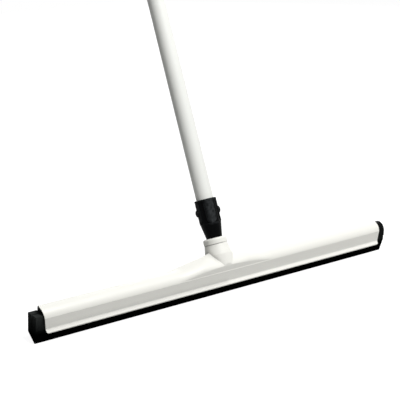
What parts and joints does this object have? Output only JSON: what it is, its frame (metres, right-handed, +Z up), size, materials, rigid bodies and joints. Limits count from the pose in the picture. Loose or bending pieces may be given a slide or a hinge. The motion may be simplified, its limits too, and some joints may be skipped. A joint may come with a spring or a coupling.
{
  "type": "floor squeegee",
  "caption": "Floor squeegee: long moulded frame, slide-in foam rubber blade cassette, and a leaning screw-in handle with a snap-locked tube and a hanging cap.",
  "frame": {"origin": "middle of the wiping edge, on the floor", "axes": "+X along the blade, +Z up, and the handle leans back towards +Y"},
  "size_m": [0.613, 0.5984, 1.3063],
  "materials": {
    "white_plastic": "smooth injection-moulded, slightly glossy",
    "carrier_plastic": "black extruded plastic",
    "foam_rubber": "black closed-cell foam with a fine open grain",
    "steel": "bright drawn steel",
    "seal_rubber": "black moulded rubber",
    "adapter_plastic": "black moulded plastic with a fine spark texture",
    "button_plastic": "black moulded plastic, smooth",
    "coated_tube": "pale grey-white coating on a steel tube"
  },
  "bodies": {
    "head": {"frame": "white_plastic", "collar_ring": "white_plastic"},
    "cassette": {"blade_carrier": "carrier_plastic", "front_strip": "foam_rubber", "rear_strip": "foam_rubber", "strip_pins": "steel"},
    "washer": {"neck_washer": "seal_rubber"},
    "handle": {"handle_adapter": "adapter_plastic", "handle_tube": "coated_tube", "hang_cap": "adapter_plastic", "button_spring": "steel"},
    "left_lock": {"left_button": "button_plastic"},
    "right_lock": {"right_button": "button_plastic"}
  },
  "joints": [
    {"name": "cassette_slide", "type": "slide", "parent": "head", "child": "cassette", "axis": [1, 0, 0], "range_m": [-0.58, 0.58]},
    {"name": "handle_lift", "type": "slide", "parent": "head", "child": "washer", "axis": [0, 0.4131, 0.9107], "range_m": [0, 0.0204]},
    {"name": "handle_turn", "type": "hinge", "parent": "washer", "child": "handle", "pos_m": [0, 0.0028, 0.0346], "axis": [0, 0.4131, 0.9107], "range_deg": [0, 1440]},
    {"name": "left_button_press", "type": "slide", "parent": "handle", "child": "left_lock", "axis": [0.9397, -0.3115, 0.1413], "range_m": [0, 0.0032], "stiffness_N_per_m": 900, "deforming": ["button_spring"]},
    {"name": "right_button_press", "type": "slide", "parent": "handle", "child": "right_lock", "axis": [-0.9397, 0.3115, -0.1413], "range_m": [0, 0.0032], "stiffness_N_per_m": 900, "deforming": ["button_spring"]}
  ],
  "couplings": [
    {"joint": "handle_lift", "follows": "handle_turn", "m_per_rad": 0.00080851}
  ]
}
